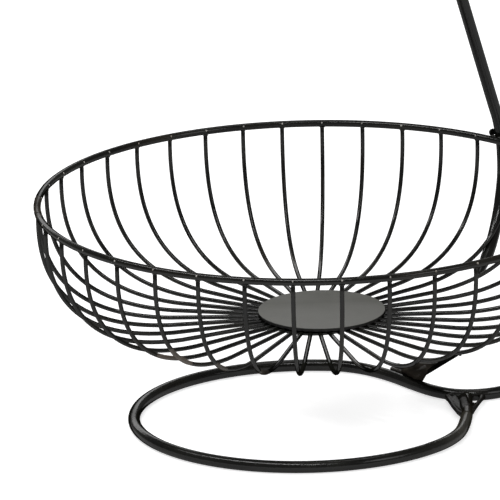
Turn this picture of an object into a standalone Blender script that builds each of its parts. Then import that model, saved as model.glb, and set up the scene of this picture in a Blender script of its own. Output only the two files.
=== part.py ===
"""Two-tier wire fruit basket: two welded wire bowls on a stand of bent rod.

Metres, +Z up. The origin is on the table, under the middle of the lower bowl. The big bowl sits
low over an oval loop of rod, a leaning pole runs up its back right side, and the small bowl is
screwed to the pole's top end, straight above the big one.
"""

import math

import bpy
from mathutils import Matrix, Vector

MM = 0.001
GAP = 0.3 * MM
BEND_STEP = math.radians(12)
ARC_STEP = math.radians(6)
SMOOTH_ANGLE = math.radians(50)
SPLINE_PARTS = 12
HEIGHT_TRIES = 30

# Stand: rods and their bends
ROD_RADIUS = 3.3 * MM
ROD_SIDES = 8
LOOP_SEMI_X = 93.9 * MM
LOOP_SEMI_Y = 87.2 * MM
LOOP_CENTRE_X = -6.3 * MM
LOOP_CENTRE_Y = -3.3 * MM
LOOP_START_ANGLE = math.radians(-37)
LOOP_END_ANGLE = math.radians(78 - 360)
LOOP_START_X = 83.5 * MM
LOOP_START_ROUTE = ((83.2, 4), (82.3, -14), (79.2, -34))
FOOT_ROUTE = (
    (24.5, 77.2), (34.5, 69.8), (44, 60), (54, 47.2), (64, 35.8), (74, 28.6), (83.5, 26.2), (93, 26.9),
    (102.5, 30.7), (117, 40), (129, 55), (134, 75), (131.5, 92), (124.5, 105.5),
)
FOOT_STEP = 9 * MM
RISER_BEND = 15 * MM
RISER_HEIGHT = 116 * MM
POLE_ANGLE = math.radians(46.8)
POLE_END_ANGLE = math.radians(36.8)
POLE_TURN_POWER = 0.8
POLE_LEAN = math.radians(21.1)
POLE_LEAN_START = 11 * MM
POLE_TOP_BEND = 30 * MM
POLE_STEP = 11 * MM
POLE_HUG_SHARES = (0.74, 0.64, 0.54, 0.42, 0.3, 0.16, 0.05)
POLE_STANDOFFS = (0, 0, 0, 0, 1.2 * MM, 3.4 * MM, 2 * MM)
STRUT_RADIUS = 2.1 * MM
STRUT_TAIL = (42, 65)
STRUT_FOOT = (54.5, 47.5)
STRUT_PERCH_ANGLE = math.radians(46)
STRUT_HEAD = 6 * MM
STRUT_BEND = 9 * MM
STRUT_HEAD_X = 77.1 * MM
STRUT_HEAD_Y = -56.5 * MM
LUG_RADIUS = 2.2 * MM
LUG_OUT = 3.2 * MM
LUG_LENGTH = 2.5 * MM

# Bowls: wires
RIB_RADIUS = 1.2 * MM
RIB_SIDES = 6
RIM_WIRE_RADIUS = 2 * MM
RIM_SIDES = 8
RIB_INNER_RADIUS = 22 * MM
RIB_CURVE_STEPS = 7
HAIRPIN_STEPS = 3
FLOOR_RISE = 0.6 * MM

# Lower bowl
LOWER_RIM_RADIUS = 150 * MM
LOWER_RIM_HEIGHT = 126 * MM
LOWER_DEPTH = 65.4 * MM
LOWER_FLOOR_RADIUS = 80 * MM
LOWER_RIBS = 38
FIRST_RIB_ANGLE = math.radians(171.2)
LOWER_DRIFT = math.radians(3.3)
RIB_DRIFT_ANGLE = math.radians(11.7)
LOWER_SWAY = math.radians(1)
RIB_SWAY_ANGLE = math.radians(67.2)
LOWER_DISC_SHIFT = Vector((4 * MM, 3 * MM, 0))
LOWER_RIM_STEPS = 60

# Upper bowl
UPPER_RIM_RADIUS = 120 * MM
UPPER_DEPTH = 55.2 * MM
UPPER_FLOOR_RADIUS = 62 * MM
UPPER_RIBS = 32
UPPER_DRIFT = 0.0
UPPER_SWAY = 0.0
UPPER_DISC_SHIFT = Vector((0, 0, 0))
UPPER_RIM_STEPS = 48
UPPER_ARM_HEIGHT = 345 * MM

# Bowl outline between a rib's top and the floor, as shares of its side's width and of its depth
SIDE_HANDLE_SHARE = (-0.021, 0.652)
FLOOR_HANDLE_SHARE = (0.698, 0.986)
OUTLINE_NUDGE = 0.001

# Discs that hold the ribs' inner ends
DISC_RADIUS = 35 * MM
DISC_HEIGHT = 1.8 * MM
DISC_WALL = 0.8 * MM
DISC_EDGE = 0.5 * MM
DISC_STEPS = 48
PLATE_RADIUS = 25 * MM
PLATE_THICKNESS = 1.5 * MM
PLATE_STEPS = 32

# Screw joint of the upper bowl
HUB_RADIUS = 9 * MM
HUB_DROP = 1.2 * MM
HUB_STEPS = 24
STUD_RADIUS = 2.5 * MM
STUD_CLEARANCE = 0.4 * MM
STUD_STEPS = 16
STUD_HEAD_RADIUS = 6 * MM
STUD_HEAD_HEIGHT = 1 * MM
STUD_OVERHANG = 2 * MM
WASHER_RADIUS = 7 * MM
WASHER_THICKNESS = 1 * MM
KNOB_RADIUS = 9 * MM
KNOB_HEIGHT = 7 * MM
KNOB_LOBES = 6
KNOB_LOBE_DEPTH = 0.9 * MM
KNOB_STEPS = 36

BLACK = (0.018, 0.018, 0.018, 1)
DARK_GREY = (0.12, 0.12, 0.115, 1)
STEEL = (0.45, 0.45, 0.44, 1)

ROD_HEIGHT = ROD_RADIUS * math.cos(math.pi / ROD_SIDES)


def material(name, colour, roughness, metallic):
    """A Principled material, made once for each name."""
    made = bpy.data.materials.get(name) or bpy.data.materials.new(name)
    made.use_nodes = True
    shader = made.node_tree.nodes["Principled BSDF"]
    shader.inputs["Base Color"].default_value = colour
    shader.inputs["Roughness"].default_value = roughness
    shader.inputs["Metallic"].default_value = metallic
    return made


def add_mesh(name, points, faces, finish):
    """One object from points and outward faces."""
    mesh = bpy.data.meshes.new(name)
    mesh.from_pydata([tuple(point) for point in points], [], faces)
    mesh.materials.append(finish)
    mesh.shade_smooth()
    mesh.set_sharp_from_angle(angle=SMOOTH_ANGLE)
    piece = bpy.data.objects.new(name, mesh)
    bpy.context.scene.collection.objects.link(piece)
    return piece


def towards(angle):
    """The level direction that points this way round."""
    return Vector((math.cos(angle), math.sin(angle), 0))


def polar(radius, angle, height=0.0):
    """A point at this distance and angle round the bowls' axis."""
    return Vector((radius * math.cos(angle), radius * math.sin(angle), height))


def tube(name, path, radius, sides, finish, up=Vector((0, 0, 1)), closed=False):
    """A round wire along a path, with a flat facet facing down where the path lies level."""
    path = [Vector(point) for point in path]
    count = len(path)
    points = []
    for index, here in enumerate(path):
        before = path[index - 1] if closed or index else here
        after = path[(index + 1) % count] if closed or index < count - 1 else here
        along = (after - before).normalized()
        up = (up - along * up.dot(along)).normalized()
        side = along.cross(up)
        into, out = (here - before), (after - here)
        turn = into.angle(out) if into.length and out.length else 0.0
        stretch = 1 / math.cos(turn / 2)
        inward = (out.normalized() - into.normalized()) if turn else Vector()
        inward = inward.normalized() if inward.length else inward
        for step in range(sides):
            angle = 2 * math.pi * (step + 0.5) / sides
            arm = radius * (side * math.sin(angle) + up * math.cos(angle))
            arm += inward * arm.dot(inward) * (stretch - 1)
            points.append(here + arm)
    faces = []
    for ring in range(count if closed else count - 1):
        for step in range(sides):
            low, high = ring * sides, (ring + 1) % count * sides
            turned = (step + 1) % sides
            faces.append((low + step, low + turned, high + turned, high + step))
    if not closed:
        faces.append(tuple(reversed(range(sides))))
        faces.append(tuple(range((count - 1) * sides, count * sides)))
    piece = add_mesh(name, points, faces, finish)
    turn_outward(piece)
    return piece


def turn_outward(piece):
    """Turns the faces round where the shape is inside out."""
    mesh = piece.data
    mesh.calc_loop_triangles()
    volume = 0.0
    for triangle in mesh.loop_triangles:
        a, b, c = (mesh.vertices[index].co for index in triangle.vertices)
        volume += a.dot(b.cross(c))
    if volume < 0:
        mesh.flip_normals()


def turned(name, outline, steps, finish):
    """A closed outline of (radius, height) points turned round the vertical axis."""
    points = []
    for step in range(steps):
        angle = 2 * math.pi * step / steps
        points += [polar(radius, angle, height) for radius, height in outline]
    size = len(outline)
    faces = []
    for step in range(steps):
        low, high = step * size, (step + 1) % steps * size
        for index in range(size):
            after = (index + 1) % size
            faces.append((low + index, high + index, high + after, low + after))
    piece = add_mesh(name, points, faces, finish)
    turn_outward(piece)
    return piece


def capped(name, outline, steps, finish):
    """An open outline that starts and ends on the axis, turned into a solid."""
    rings = outline[1:-1]
    size = len(rings)
    points = [Vector((0, 0, outline[0][1])), Vector((0, 0, outline[-1][1]))]
    for step in range(steps):
        angle = 2 * math.pi * step / steps
        points += [polar(radius, angle, height) for radius, height in rings]
    faces = []
    for step in range(steps):
        low, high = 2 + step * size, 2 + (step + 1) % steps * size
        faces.append((0, high, low))
        faces.append((1, low + size - 1, high + size - 1))
        for index in range(size - 1):
            faces.append((low + index, high + index, high + index + 1, low + index + 1))
    piece = add_mesh(name, points, faces, finish)
    turn_outward(piece)
    return piece


def rounded(corners, bends):
    """The corners joined by straight runs and arcs of the given bend radii."""
    path = [corners[0]]
    for index, bend in enumerate(bends, start=1):
        corner = corners[index]
        into = (corner - corners[index - 1]).normalized()
        out = (corners[index + 1] - corner).normalized()
        turn = into.angle(out)
        reach = bend * math.tan(turn / 2)
        start = corner - into * reach
        across = (out - into * into.dot(out)).normalized()
        centre = start + across * bend
        count = max(2, math.ceil(turn / BEND_STEP))
        for part in range(count + 1):
            angle = turn * part / count
            path.append(centre - across * bend * math.cos(angle) + into * bend * math.sin(angle))
    path.append(corners[-1])
    return path


def spaced(path, step):
    """The same smooth curve with points at an even spacing of about this step."""
    dense = []
    last = len(path) - 1
    for index in range(last):
        a, b = path[max(index - 1, 0)], path[index]
        c, d = path[index + 1], path[min(index + 2, last)]
        square, cube = 2 * a - 5 * b + 4 * c - d, 3 * b - a - 3 * c + d
        for part in range(SPLINE_PARTS):
            t = part / SPLINE_PARTS
            dense.append((2 * b + (c - a) * t + square * t**2 + cube * t**3) / 2)
    dense.append(path[-1])
    lengths = [0.0]
    for before, after in zip(dense, dense[1:]):
        lengths.append(lengths[-1] + (after - before).length)
    count = max(2, round(lengths[-1] / step))
    found, index = [dense[0]], 0
    for part in range(1, count):
        goal = lengths[-1] * part / count
        while lengths[index + 1] < goal:
            index += 1
        share = (goal - lengths[index]) / (lengths[index + 1] - lengths[index])
        found.append(dense[index].lerp(dense[index + 1], share))
    found.append(dense[-1])
    return found


class Bowl:
    """The sizes that one bowl's rim, ribs and discs share."""

    def __init__(
        self, name, rim_radius, rim_height, depth, floor_radius, ribs, drift, sway, disc_shift, rim_steps
    ):
        self.name = name
        self.rim_radius = rim_radius
        self.rim_height = rim_height
        self.rib_top = rim_height - RIM_WIRE_RADIUS - GAP
        self.floor_height = self.rib_top - depth
        self.depth = depth
        self.floor_radius = floor_radius
        self.ribs = ribs
        self.drift = drift
        self.sway = sway
        self.disc_shift = disc_shift
        self.rim_steps = rim_steps
        self.inner_height = self.floor_height + FLOOR_RISE

    def outline(self, share):
        """The middle of a rib at this share of the way from its top to the floor's edge."""
        start = Vector((self.rim_radius, self.rib_top))
        end = Vector((self.floor_radius, self.floor_height))
        width = start.x - end.x
        side, floor = SIDE_HANDLE_SHARE, FLOOR_HANDLE_SHARE
        first = start - Vector((width * side[0], self.depth * side[1]))
        second = start - Vector((width * (1 - floor[0]), self.depth * floor[1]))
        left = 1 - share
        ends = left**3 * start + share**3 * end
        return ends + 3 * left * share * (left * first + share * second)

    def outside(self, share, distance):
        """A point this far outside the rib's middle, square to its outline."""
        ahead = self.outline(min(share + OUTLINE_NUDGE, 1.0))
        behind = self.outline(max(share - OUTLINE_NUDGE, 0.0))
        along = (ahead - behind).normalized()
        return self.outline(share) + Vector((-along.y, along.x)) * distance

    def height_at(self, radius):
        """The height of a rib's middle at this radius, outside the floor's edge."""
        low, high = 0.0, 1.0
        for _ in range(HEIGHT_TRIES):
            middle = (low + high) / 2
            if self.outline(middle).x > radius:
                low = middle
            else:
                high = middle
        return self.outline(low).y

    def rib_angle(self, index):
        """The way this rib points, counted clockwise. Hand welding leaves it a little off even spacing."""
        even = FIRST_RIB_ANGLE - 2 * math.pi * index / self.ribs
        drift = self.drift * math.cos(even - RIB_DRIFT_ANGLE)
        return even + drift + self.sway * math.cos(2 * (even - RIB_SWAY_ANGLE))

    def rib_run(self, angle):
        """Points of one rib from its top under the rim down and in to its hairpin."""
        run = []
        for step in range(RIB_CURVE_STEPS + 1):
            radius, height = self.outline(step / RIB_CURVE_STEPS)
            run.append(polar(radius, angle, height))
        run.append(polar(RIB_INNER_RADIUS, angle, self.inner_height))
        return run

    def add_rim(self, finish):
        path = []
        for step in range(self.rim_steps):
            path.append(polar(self.rim_radius, 2 * math.pi * step / self.rim_steps, self.rim_height))
        return tube(self.name + "_rim", path, RIM_WIRE_RADIUS, RIM_SIDES, finish, closed=True)

    def add_rib_pair(self, index, finish):
        """Two neighbouring ribs, bent from one wire with a hairpin under the disc."""
        first, second = self.rib_angle(2 * index), self.rib_angle(2 * index + 1)
        middle = (first + second) / 2
        spread = RIB_INNER_RADIUS * math.sin((first - second) / 2)
        centre = polar(RIB_INNER_RADIUS * math.cos((first - second) / 2), middle, self.inner_height)
        inward, across = -towards(middle), towards(middle + math.pi / 2)
        bend = []
        for step in range(1, HAIRPIN_STEPS + 1):
            angle = math.pi * step / (HAIRPIN_STEPS + 1)
            bend.append(centre + spread * (across * math.cos(angle) + inward * math.sin(angle)))
        path = self.rib_run(first) + bend + self.rib_run(second)[::-1]
        name = f"{self.name}_rib_pair_{index + 1:02d}"
        return tube(name, path, RIB_RADIUS, RIB_SIDES, finish, up=towards(first))

    def add_disc(self, finish):
        """A shallow pressed cap over the ribs' inner ends."""
        low = self.inner_height + RIB_RADIUS + GAP
        top = low + DISC_HEIGHT
        inner = DISC_RADIUS - DISC_WALL
        outline = [
            (0, top - DISC_WALL),
            (inner - DISC_EDGE, top - DISC_WALL),
            (inner, top - DISC_WALL - DISC_EDGE),
            (inner, low),
            (DISC_RADIUS, low),
            (DISC_RADIUS, top - DISC_EDGE),
            (DISC_RADIUS - DISC_EDGE, top),
            (0, top),
        ]
        self.disc_under = top - DISC_WALL
        disc = capped(self.name + "_disc", outline, DISC_STEPS, finish)
        disc.data.transform(Matrix.Translation(self.disc_shift))
        return disc

    def add_plate(self, finish, hole=0.0):
        """The flat plate under the ribs' inner ends."""
        high = self.inner_height - RIB_RADIUS - GAP
        low = high - PLATE_THICKNESS
        self.plate_under = low
        name = self.name + "_floor_plate"
        if hole:
            return turned(name, sleeve(hole, PLATE_RADIUS, low, high), PLATE_STEPS, finish)
        outline = [(0, low), (PLATE_RADIUS, low), (PLATE_RADIUS, high), (0, high)]
        return capped(name, outline, PLATE_STEPS, finish)


def on_table(route):
    """Points of a rod that lies on the table, from a route in millimetres."""
    return [Vector((x * MM, y * MM, ROD_HEIGHT)) for x, y in route]


def base_route():
    """The base rod's points on the table: its start, the oval loop, then its way out at the back right."""
    meets = min(y for _, y in FOOT_ROUTE) * MM - ROD_RADIUS - GAP
    route = [Vector((LOOP_START_X, meets, ROD_HEIGHT))] + on_table(LOOP_START_ROUTE)
    count = math.ceil(abs(LOOP_END_ANGLE - LOOP_START_ANGLE) / ARC_STEP)
    for part in range(count + 1):
        angle = LOOP_START_ANGLE + (LOOP_END_ANGLE - LOOP_START_ANGLE) * part / count
        x = LOOP_CENTRE_X + LOOP_SEMI_X * math.cos(angle)
        y = LOOP_CENTRE_Y + LOOP_SEMI_Y * math.sin(angle)
        route.append(Vector((x, y, ROD_HEIGHT)))
    return route + on_table(FOOT_ROUTE)


def add_base_rod(pole, finish):
    """One rod: the loop under the lower bowl, then out past its own start, round and up beside the pole."""
    route = base_route()
    widest = max(point.xy.length for point in pole)
    corner = polar(widest + 2 * ROD_RADIUS + GAP, POLE_ANGLE, ROD_HEIGHT)
    top = corner + Vector((0, 0, RISER_HEIGHT - ROD_HEIGHT))
    path = spaced(route, FOOT_STEP) + rounded([route[-1], corner, top], [RISER_BEND])[1:]
    return tube("base_rod", path, ROD_RADIUS, ROD_SIDES, finish)


def pole_path(bowl):
    """Up the bowl's outside from its floor, then leaning in over it and level to the hub."""
    knots = []
    stop = bowl.rim_radius + RIM_WIRE_RADIUS + GAP + ROD_RADIUS
    hugs = []
    for share, standoff in zip(POLE_HUG_SHARES, POLE_STANDOFFS):
        hugs.append(bowl.outside(share, RIB_RADIUS + GAP + ROD_RADIUS + standoff))
    least, most = min(radius for radius, _ in hugs), max(radius for radius, _ in hugs)
    for radius, height in hugs:
        turned_by = ((radius - least) / (most - least)) ** POLE_TURN_POWER
        knots.append(polar(radius, POLE_END_ANGLE + (POLE_ANGLE - POLE_END_ANGLE) * turned_by, height))
    knots.append(polar(stop + GAP, POLE_ANGLE, bowl.rim_height))
    lean_height = bowl.rim_height + POLE_LEAN_START
    lean_radius = stop - POLE_LEAN_START * math.tan(POLE_LEAN) / 2
    start = polar(lean_radius, POLE_ANGLE, lean_height)
    top_radius = lean_radius - (UPPER_ARM_HEIGHT - lean_height) * math.tan(POLE_LEAN)
    corner = polar(top_radius, POLE_ANGLE, UPPER_ARM_HEIGHT)
    end = polar(HUB_RADIUS + GAP, POLE_ANGLE, UPPER_ARM_HEIGHT)
    early = start.lerp(corner, POLE_STEP / (corner - start).length)
    low = spaced(knots + [start, early], POLE_STEP)
    return low[:-1] + rounded([early, corner, end], [POLE_TOP_BEND])


def add_strut(bowl, finish):
    """The thin wire from the back of the base rod, along which its tail lies, up to the bowl's underside."""
    tail, foot = on_table((STRUT_TAIL, STRUT_FOOT))
    along = (foot - tail).normalized()
    perch = ROD_RADIUS + GAP + STRUT_RADIUS
    aside = Vector((-along.y, along.x, 0)) * perch * math.cos(STRUT_PERCH_ANGLE)
    aside.z = perch * math.sin(STRUT_PERCH_ANGLE)
    height = bowl.height_at(math.hypot(STRUT_HEAD_X, STRUT_HEAD_Y))
    head = Vector((STRUT_HEAD_X, STRUT_HEAD_Y, height - RIB_RADIUS - GAP - STRUT_RADIUS))
    level = (head - foot) * Vector((1, 1, 0))
    end = head + level.normalized() * STRUT_HEAD
    path = rounded([tail + aside, foot + aside, head, end], [STRUT_BEND, STRUT_BEND])
    return tube("bowl_strut", path, STRUT_RADIUS, ROD_SIDES, finish)


def add_rim_lug(bowl, finish):
    """The short lug beside the pole, on the rim's outer shoulder."""
    reach = RIM_WIRE_RADIUS + GAP + LUG_RADIUS
    height = bowl.rim_height + math.sqrt(reach**2 - LUG_OUT**2)
    away = towards(POLE_ANGLE + math.pi / 2)
    start = polar(bowl.rim_radius + LUG_OUT, POLE_ANGLE, height) + away * (ROD_RADIUS + GAP)
    return tube("rim_lug", [start, start + away * LUG_LENGTH], LUG_RADIUS, ROD_SIDES, finish)


def add_bowl(bowl, wire, sheet, hole=0.0):
    """One bowl's rim, rib pairs, disc and plate."""
    pieces = [bowl.add_rim(wire)]
    for index in range(bowl.ribs // 2):
        pieces.append(bowl.add_rib_pair(index, wire))
    pieces.append(bowl.add_disc(sheet))
    pieces.append(bowl.add_plate(wire, hole))
    return pieces


def sleeve(inner, outer, low, high):
    """The outline of a flat ring with a hole."""
    return [(inner, low), (outer, low), (outer, high), (inner, high)]


def add_screw_joint(bowl, wire, steel):
    """Adds the hub on the pole's end, and gives the washer, thumb nut and stud that turn with the bowl."""
    bore = STUD_RADIUS + STUD_CLEARANCE
    hub_low = UPPER_ARM_HEIGHT - ROD_RADIUS - HUB_DROP
    hub_high = bowl.plate_under - GAP
    turned("hub", sleeve(bore, HUB_RADIUS, hub_low, hub_high), HUB_STEPS, wire)
    washer_high = hub_low - GAP
    washer_low = washer_high - WASHER_THICKNESS
    washer = turned("washer", sleeve(bore, WASHER_RADIUS, washer_low, washer_high), STUD_STEPS, steel)
    knob_high = washer_low - GAP
    knob_low = knob_high - KNOB_HEIGHT
    knob = add_knob(bore, knob_low, knob_high, wire)
    head_high = bowl.disc_under - GAP
    head_low = head_high - STUD_HEAD_HEIGHT
    stud = [
        (0, knob_low - STUD_OVERHANG),
        (STUD_RADIUS, knob_low - STUD_OVERHANG),
        (STUD_RADIUS, head_low),
        (STUD_HEAD_RADIUS, head_low),
        (STUD_HEAD_RADIUS, head_high),
        (0, head_high),
    ]
    return [washer, knob, capped("stud", stud, STUD_STEPS, steel)]


def add_knob(bore, low, high, finish):
    """The thumb nut: a short lobed knob with a bore through it."""
    points = []
    for height in (low, high):
        for step in range(KNOB_STEPS):
            angle = 2 * math.pi * step / KNOB_STEPS
            wave = math.cos(KNOB_LOBES * angle)
            points.append(polar(KNOB_RADIUS - KNOB_LOBE_DEPTH * (1 - wave) / 2, angle, height))
        for step in range(KNOB_STEPS):
            points.append(polar(bore, 2 * math.pi * step / KNOB_STEPS, height))
    faces = []
    for step in range(KNOB_STEPS):
        after = (step + 1) % KNOB_STEPS
        low_out, low_in = (step, after), (KNOB_STEPS + step, KNOB_STEPS + after)
        high_out = (2 * KNOB_STEPS + step, 2 * KNOB_STEPS + after)
        high_in = (3 * KNOB_STEPS + step, 3 * KNOB_STEPS + after)
        faces.append((low_out[0], low_out[1], high_out[1], high_out[0]))
        faces.append((low_in[1], low_in[0], high_in[0], high_in[1]))
        faces.append((high_out[0], high_out[1], high_in[1], high_in[0]))
        faces.append((low_out[1], low_out[0], low_in[0], low_in[1]))
    piece = add_mesh("thumb_nut", points, faces, finish)
    turn_outward(piece)
    return piece


def main():
    for piece in list(bpy.data.objects):
        bpy.data.objects.remove(piece, do_unlink=True)
    wire = material("black_wire", BLACK, 0.42, 0.0)
    sheet = material("dark_sheet", DARK_GREY, 0.5, 0.0)
    steel = material("steel", STEEL, 0.35, 1.0)
    lower = Bowl(
        "lower", LOWER_RIM_RADIUS, LOWER_RIM_HEIGHT, LOWER_DEPTH, LOWER_FLOOR_RADIUS,
        LOWER_RIBS, LOWER_DRIFT, LOWER_SWAY, LOWER_DISC_SHIFT, LOWER_RIM_STEPS,
    )
    plate_top = UPPER_ARM_HEIGHT + ROD_RADIUS + GAP + PLATE_THICKNESS + GAP
    upper_floor = plate_top + GAP + RIB_RADIUS - FLOOR_RISE
    upper_rim = upper_floor + UPPER_DEPTH + GAP + RIM_WIRE_RADIUS
    upper = Bowl(
        "upper", UPPER_RIM_RADIUS, upper_rim, UPPER_DEPTH, UPPER_FLOOR_RADIUS,
        UPPER_RIBS, UPPER_DRIFT, UPPER_SWAY, UPPER_DISC_SHIFT, UPPER_RIM_STEPS,
    )
    pole = pole_path(lower)
    add_base_rod(pole, wire)
    tube("pole", pole, ROD_RADIUS, ROD_SIDES, wire)
    add_strut(lower, wire)
    add_rim_lug(lower, wire)
    add_bowl(lower, wire, sheet)
    pieces = add_bowl(upper, wire, sheet, STUD_RADIUS + STUD_CLEARANCE)
    pieces += add_screw_joint(upper, wire, steel)
    axis = bpy.data.objects.new("upper_bowl_axis", None)
    bpy.context.scene.collection.objects.link(axis)
    for piece in pieces:
        piece.parent = axis


main()
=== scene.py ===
"""Looks of the two-tier wire fruit basket: round painted wires, welds and pressed discs."""

import math

import bpy
from mathutils import Matrix, Vector, noise


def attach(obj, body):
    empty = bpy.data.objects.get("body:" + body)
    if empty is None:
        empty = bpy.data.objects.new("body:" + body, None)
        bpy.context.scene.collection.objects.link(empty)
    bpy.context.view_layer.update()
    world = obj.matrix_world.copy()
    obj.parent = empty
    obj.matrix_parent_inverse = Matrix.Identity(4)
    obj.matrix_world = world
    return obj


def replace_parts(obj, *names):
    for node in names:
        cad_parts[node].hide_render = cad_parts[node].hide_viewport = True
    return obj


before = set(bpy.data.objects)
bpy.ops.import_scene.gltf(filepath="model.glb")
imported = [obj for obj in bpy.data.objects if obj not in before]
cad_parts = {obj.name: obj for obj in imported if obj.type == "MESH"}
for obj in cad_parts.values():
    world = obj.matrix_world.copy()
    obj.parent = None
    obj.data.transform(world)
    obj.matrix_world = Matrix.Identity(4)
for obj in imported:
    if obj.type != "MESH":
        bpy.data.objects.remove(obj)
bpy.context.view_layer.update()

MM = 0.001
GAP = 0.3 * MM
FULL_TURN = 2 * math.pi

# Radii of the wires
ROD = 3.3 * MM
RIB = 1.2 * MM
RIM = 2 * MM
STRUT = 2.1 * MM
LUG = 2.2 * MM

# Radii of the turned and pressed pieces
DISC = 35 * MM
PLATE = 25 * MM
HUB = 9 * MM
WASHER = 7 * MM
KNOB = 9 * MM
STUD = 2.5 * MM
BORE = 2.9 * MM

# Heights and thicknesses
HUB_HEIGHT = 345 * MM
HUB_BELOW_ROD = 1.2 * MM
PLATE_THICK = 1.5 * MM
DISC_THICK = 1.8 * MM
DISC_WALL = 0.8 * MM
WASHER_THICK = 1 * MM
KNOB_THICK = 7 * MM

# Directions, seen from above
POLE_WAY = math.radians(46.8)
FIRST_RIB = math.radians(171.2)
DRIFT = math.radians(3.3)
DRIFT_WAY = math.radians(11.7)
SWAY = math.radians(1)
SWAY_WAY = math.radians(67.2)

# Sides of the round wires
ROD_SIDES = 24
RIM_SIDES = 20
THIN_SIDES = 16
RIB_SIDES = 12


# Shapes

def towards(angle):
    return Vector((math.cos(angle), math.sin(angle), 0))


def polar(radius, angle, height=0.0):
    return Vector((radius * math.cos(angle), radius * math.sin(angle), height))


def lift(height):
    return Vector((0, 0, height))


def in_mm(x, y, z):
    return Vector((x * MM, y * MM, z * MM))


def add_mesh(mesh, name, finish, body):
    mesh.materials.append(finish.material)
    piece = bpy.data.objects.new(name, mesh)
    bpy.context.scene.collection.objects.link(piece)
    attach(piece, body)
    return piece


SHARP_ANGLE = math.radians(50)


def add_piece(name, points, faces, finish, body):
    mesh = bpy.data.meshes.new(name)
    mesh.from_pydata([tuple(point) for point in points], [], faces)
    mesh.validate()
    mesh.shade_smooth()
    mesh.set_sharp_from_angle(angle=SHARP_ANGLE)
    return add_mesh(mesh, name, finish, body)


def ring_quads(rings, size, closed_rings=True, closed_sides=True):
    """Quads between neighbouring rings of points."""
    faces = []
    for ring in range(rings if closed_rings else rings - 1):
        low, high = ring * size, (ring + 1) % rings * size
        for step in range(size if closed_sides else size - 1):
            after = (step + 1) % size
            faces.append((low + step, high + step, high + after, low + after))
    return faces


def swept(path, radius, sides, closed=False, up=Vector((0, 0, 1)), ends=("dome", "dome")):
    """Points and faces of a round wire; the radius is one number or one for each point."""
    path = [Vector(point) for point in path]
    radii = [radius] * len(path) if isinstance(radius, float) else list(radius)
    if not closed:
        path, radii = closed_off(path, radii, ends)
    count = len(path)
    points = []
    for index, here in enumerate(path):
        before = path[index - 1] if closed or index else here
        after = path[(index + 1) % count] if closed or index < count - 1 else here
        along = (after - before).normalized()
        up = (up - along * up.dot(along)).normalized()
        side = along.cross(up)
        for step in range(sides):
            angle = FULL_TURN * (step + 0.5) / sides
            points.append(here + radii[index] * (side * math.sin(angle) + up * math.cos(angle)))
    faces = ring_quads(count, sides, closed_rings=closed)
    if not closed:
        faces.append(tuple(range(sides)))
        faces.append(tuple(reversed(range((count - 1) * sides, count * sides))))
    return points, faces


# How far back from the tip an end's rings lie, as shares of the wire's radius
END_SHARES = {"dome": (0.05, 0.2, 0.5, 0.8, 1.0), "cut": (0.0, 0.12, 0.3)}
CUT_WIDTH_SHARE = 0.7


def end_width_share(kind, back):
    return math.sqrt(1 - (1 - back) ** 2) if kind == "dome" else CUT_WIDTH_SHARE + back


def closed_off(path, radii, ends):
    """Rounds or chamfers both ends inside the wire's own length."""
    for turn, kind in enumerate(ends):
        if turn:
            path, radii = path[::-1], radii[::-1]
        along = (path[1] - path[0]).normalized()
        radius, tip = radii[0], path[0]
        backs = END_SHARES[kind]
        kept = [(point, width) for point, width in zip(path[1:], radii[1:])
                if (point - tip).length > radius * backs[-1]]
        path = [tip + along * radius * back for back in backs] + [point for point, _ in kept]
        radii = [radius * end_width_share(kind, back) for back in backs]
        radii += [width for _, width in kept]
        if turn:
            path, radii = path[::-1], radii[::-1]
    return path, radii


def wire(name, path, radius, sides, finish, body, **ways):
    return add_piece(name, *swept(path, radius, sides, **ways), finish, body)


def taper(count, thin, reach, power=1.0):
    """Shares of a wire's radius that grow from thin to 1 over its first points."""
    return [min(1.0, thin + (1 - thin) * (index / reach) ** power) for index in range(count)]


LATHE_CENTRE = 0.02 * MM


def lathe(name, outline, steps, finish, body, inward=lambda radius, angle: 0.0):
    """An outline of (radius, height) turned round Z; a zero radius becomes a small flat centre."""
    points = []
    for step in range(steps):
        angle = FULL_TURN * step / steps
        for radius, height in outline:
            points.append(polar(max(radius, LATHE_CENTRE) - inward(radius, angle), angle, height))
    size = len(outline)
    open_ends = outline[0][0] <= 0
    faces = ring_quads(steps, size, closed_sides=not open_ends)
    if open_ends:
        faces.append(tuple(step * size for step in range(steps))[::-1])
        faces.append(tuple(step * size + size - 1 for step in range(steps)))
    piece = add_piece(name, points, faces, finish, body)
    turn_outward(piece.data)
    return piece


def turn_outward(mesh):
    mesh.calc_loop_triangles()
    volume = 0.0
    for triangle in mesh.loop_triangles:
        a, b, c = (mesh.vertices[index].co for index in triangle.vertices)
        volume += a.dot(b.cross(c))
    if volume < 0:
        mesh.flip_normals()


def box_outline(inner, outer, low, high, rounding):
    """A rounded rectangle between two radii and two heights."""
    return rounded_outline([(inner, low), (outer, low), (outer, high), (inner, high)], rounding)


ROUNDING_STEPS = 4
ROUNDING_ROOM = 2.2


def rounded_outline(corners, radius):
    """A closed outline whose corners are rounded, but for those on the axis."""
    found = []
    for index, corner in enumerate(corners):
        here = Vector(corner)
        if here.x <= 0:
            found.append((here.x, here.y))
            continue
        into = here - Vector(corners[index - 1])
        out = Vector(corners[(index + 1) % len(corners)]) - here
        reach = min(radius, into.length / ROUNDING_ROOM, out.length / ROUNDING_ROOM)
        start, end = here - into.normalized() * reach, here + out.normalized() * reach
        for step in range(ROUNDING_STEPS + 1):
            share = step / ROUNDING_STEPS
            point = start.lerp(here, share).lerp(here.lerp(end, share), share)
            found.append((point.x, point.y))
    return found


BEND_STEP = math.radians(4)


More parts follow.
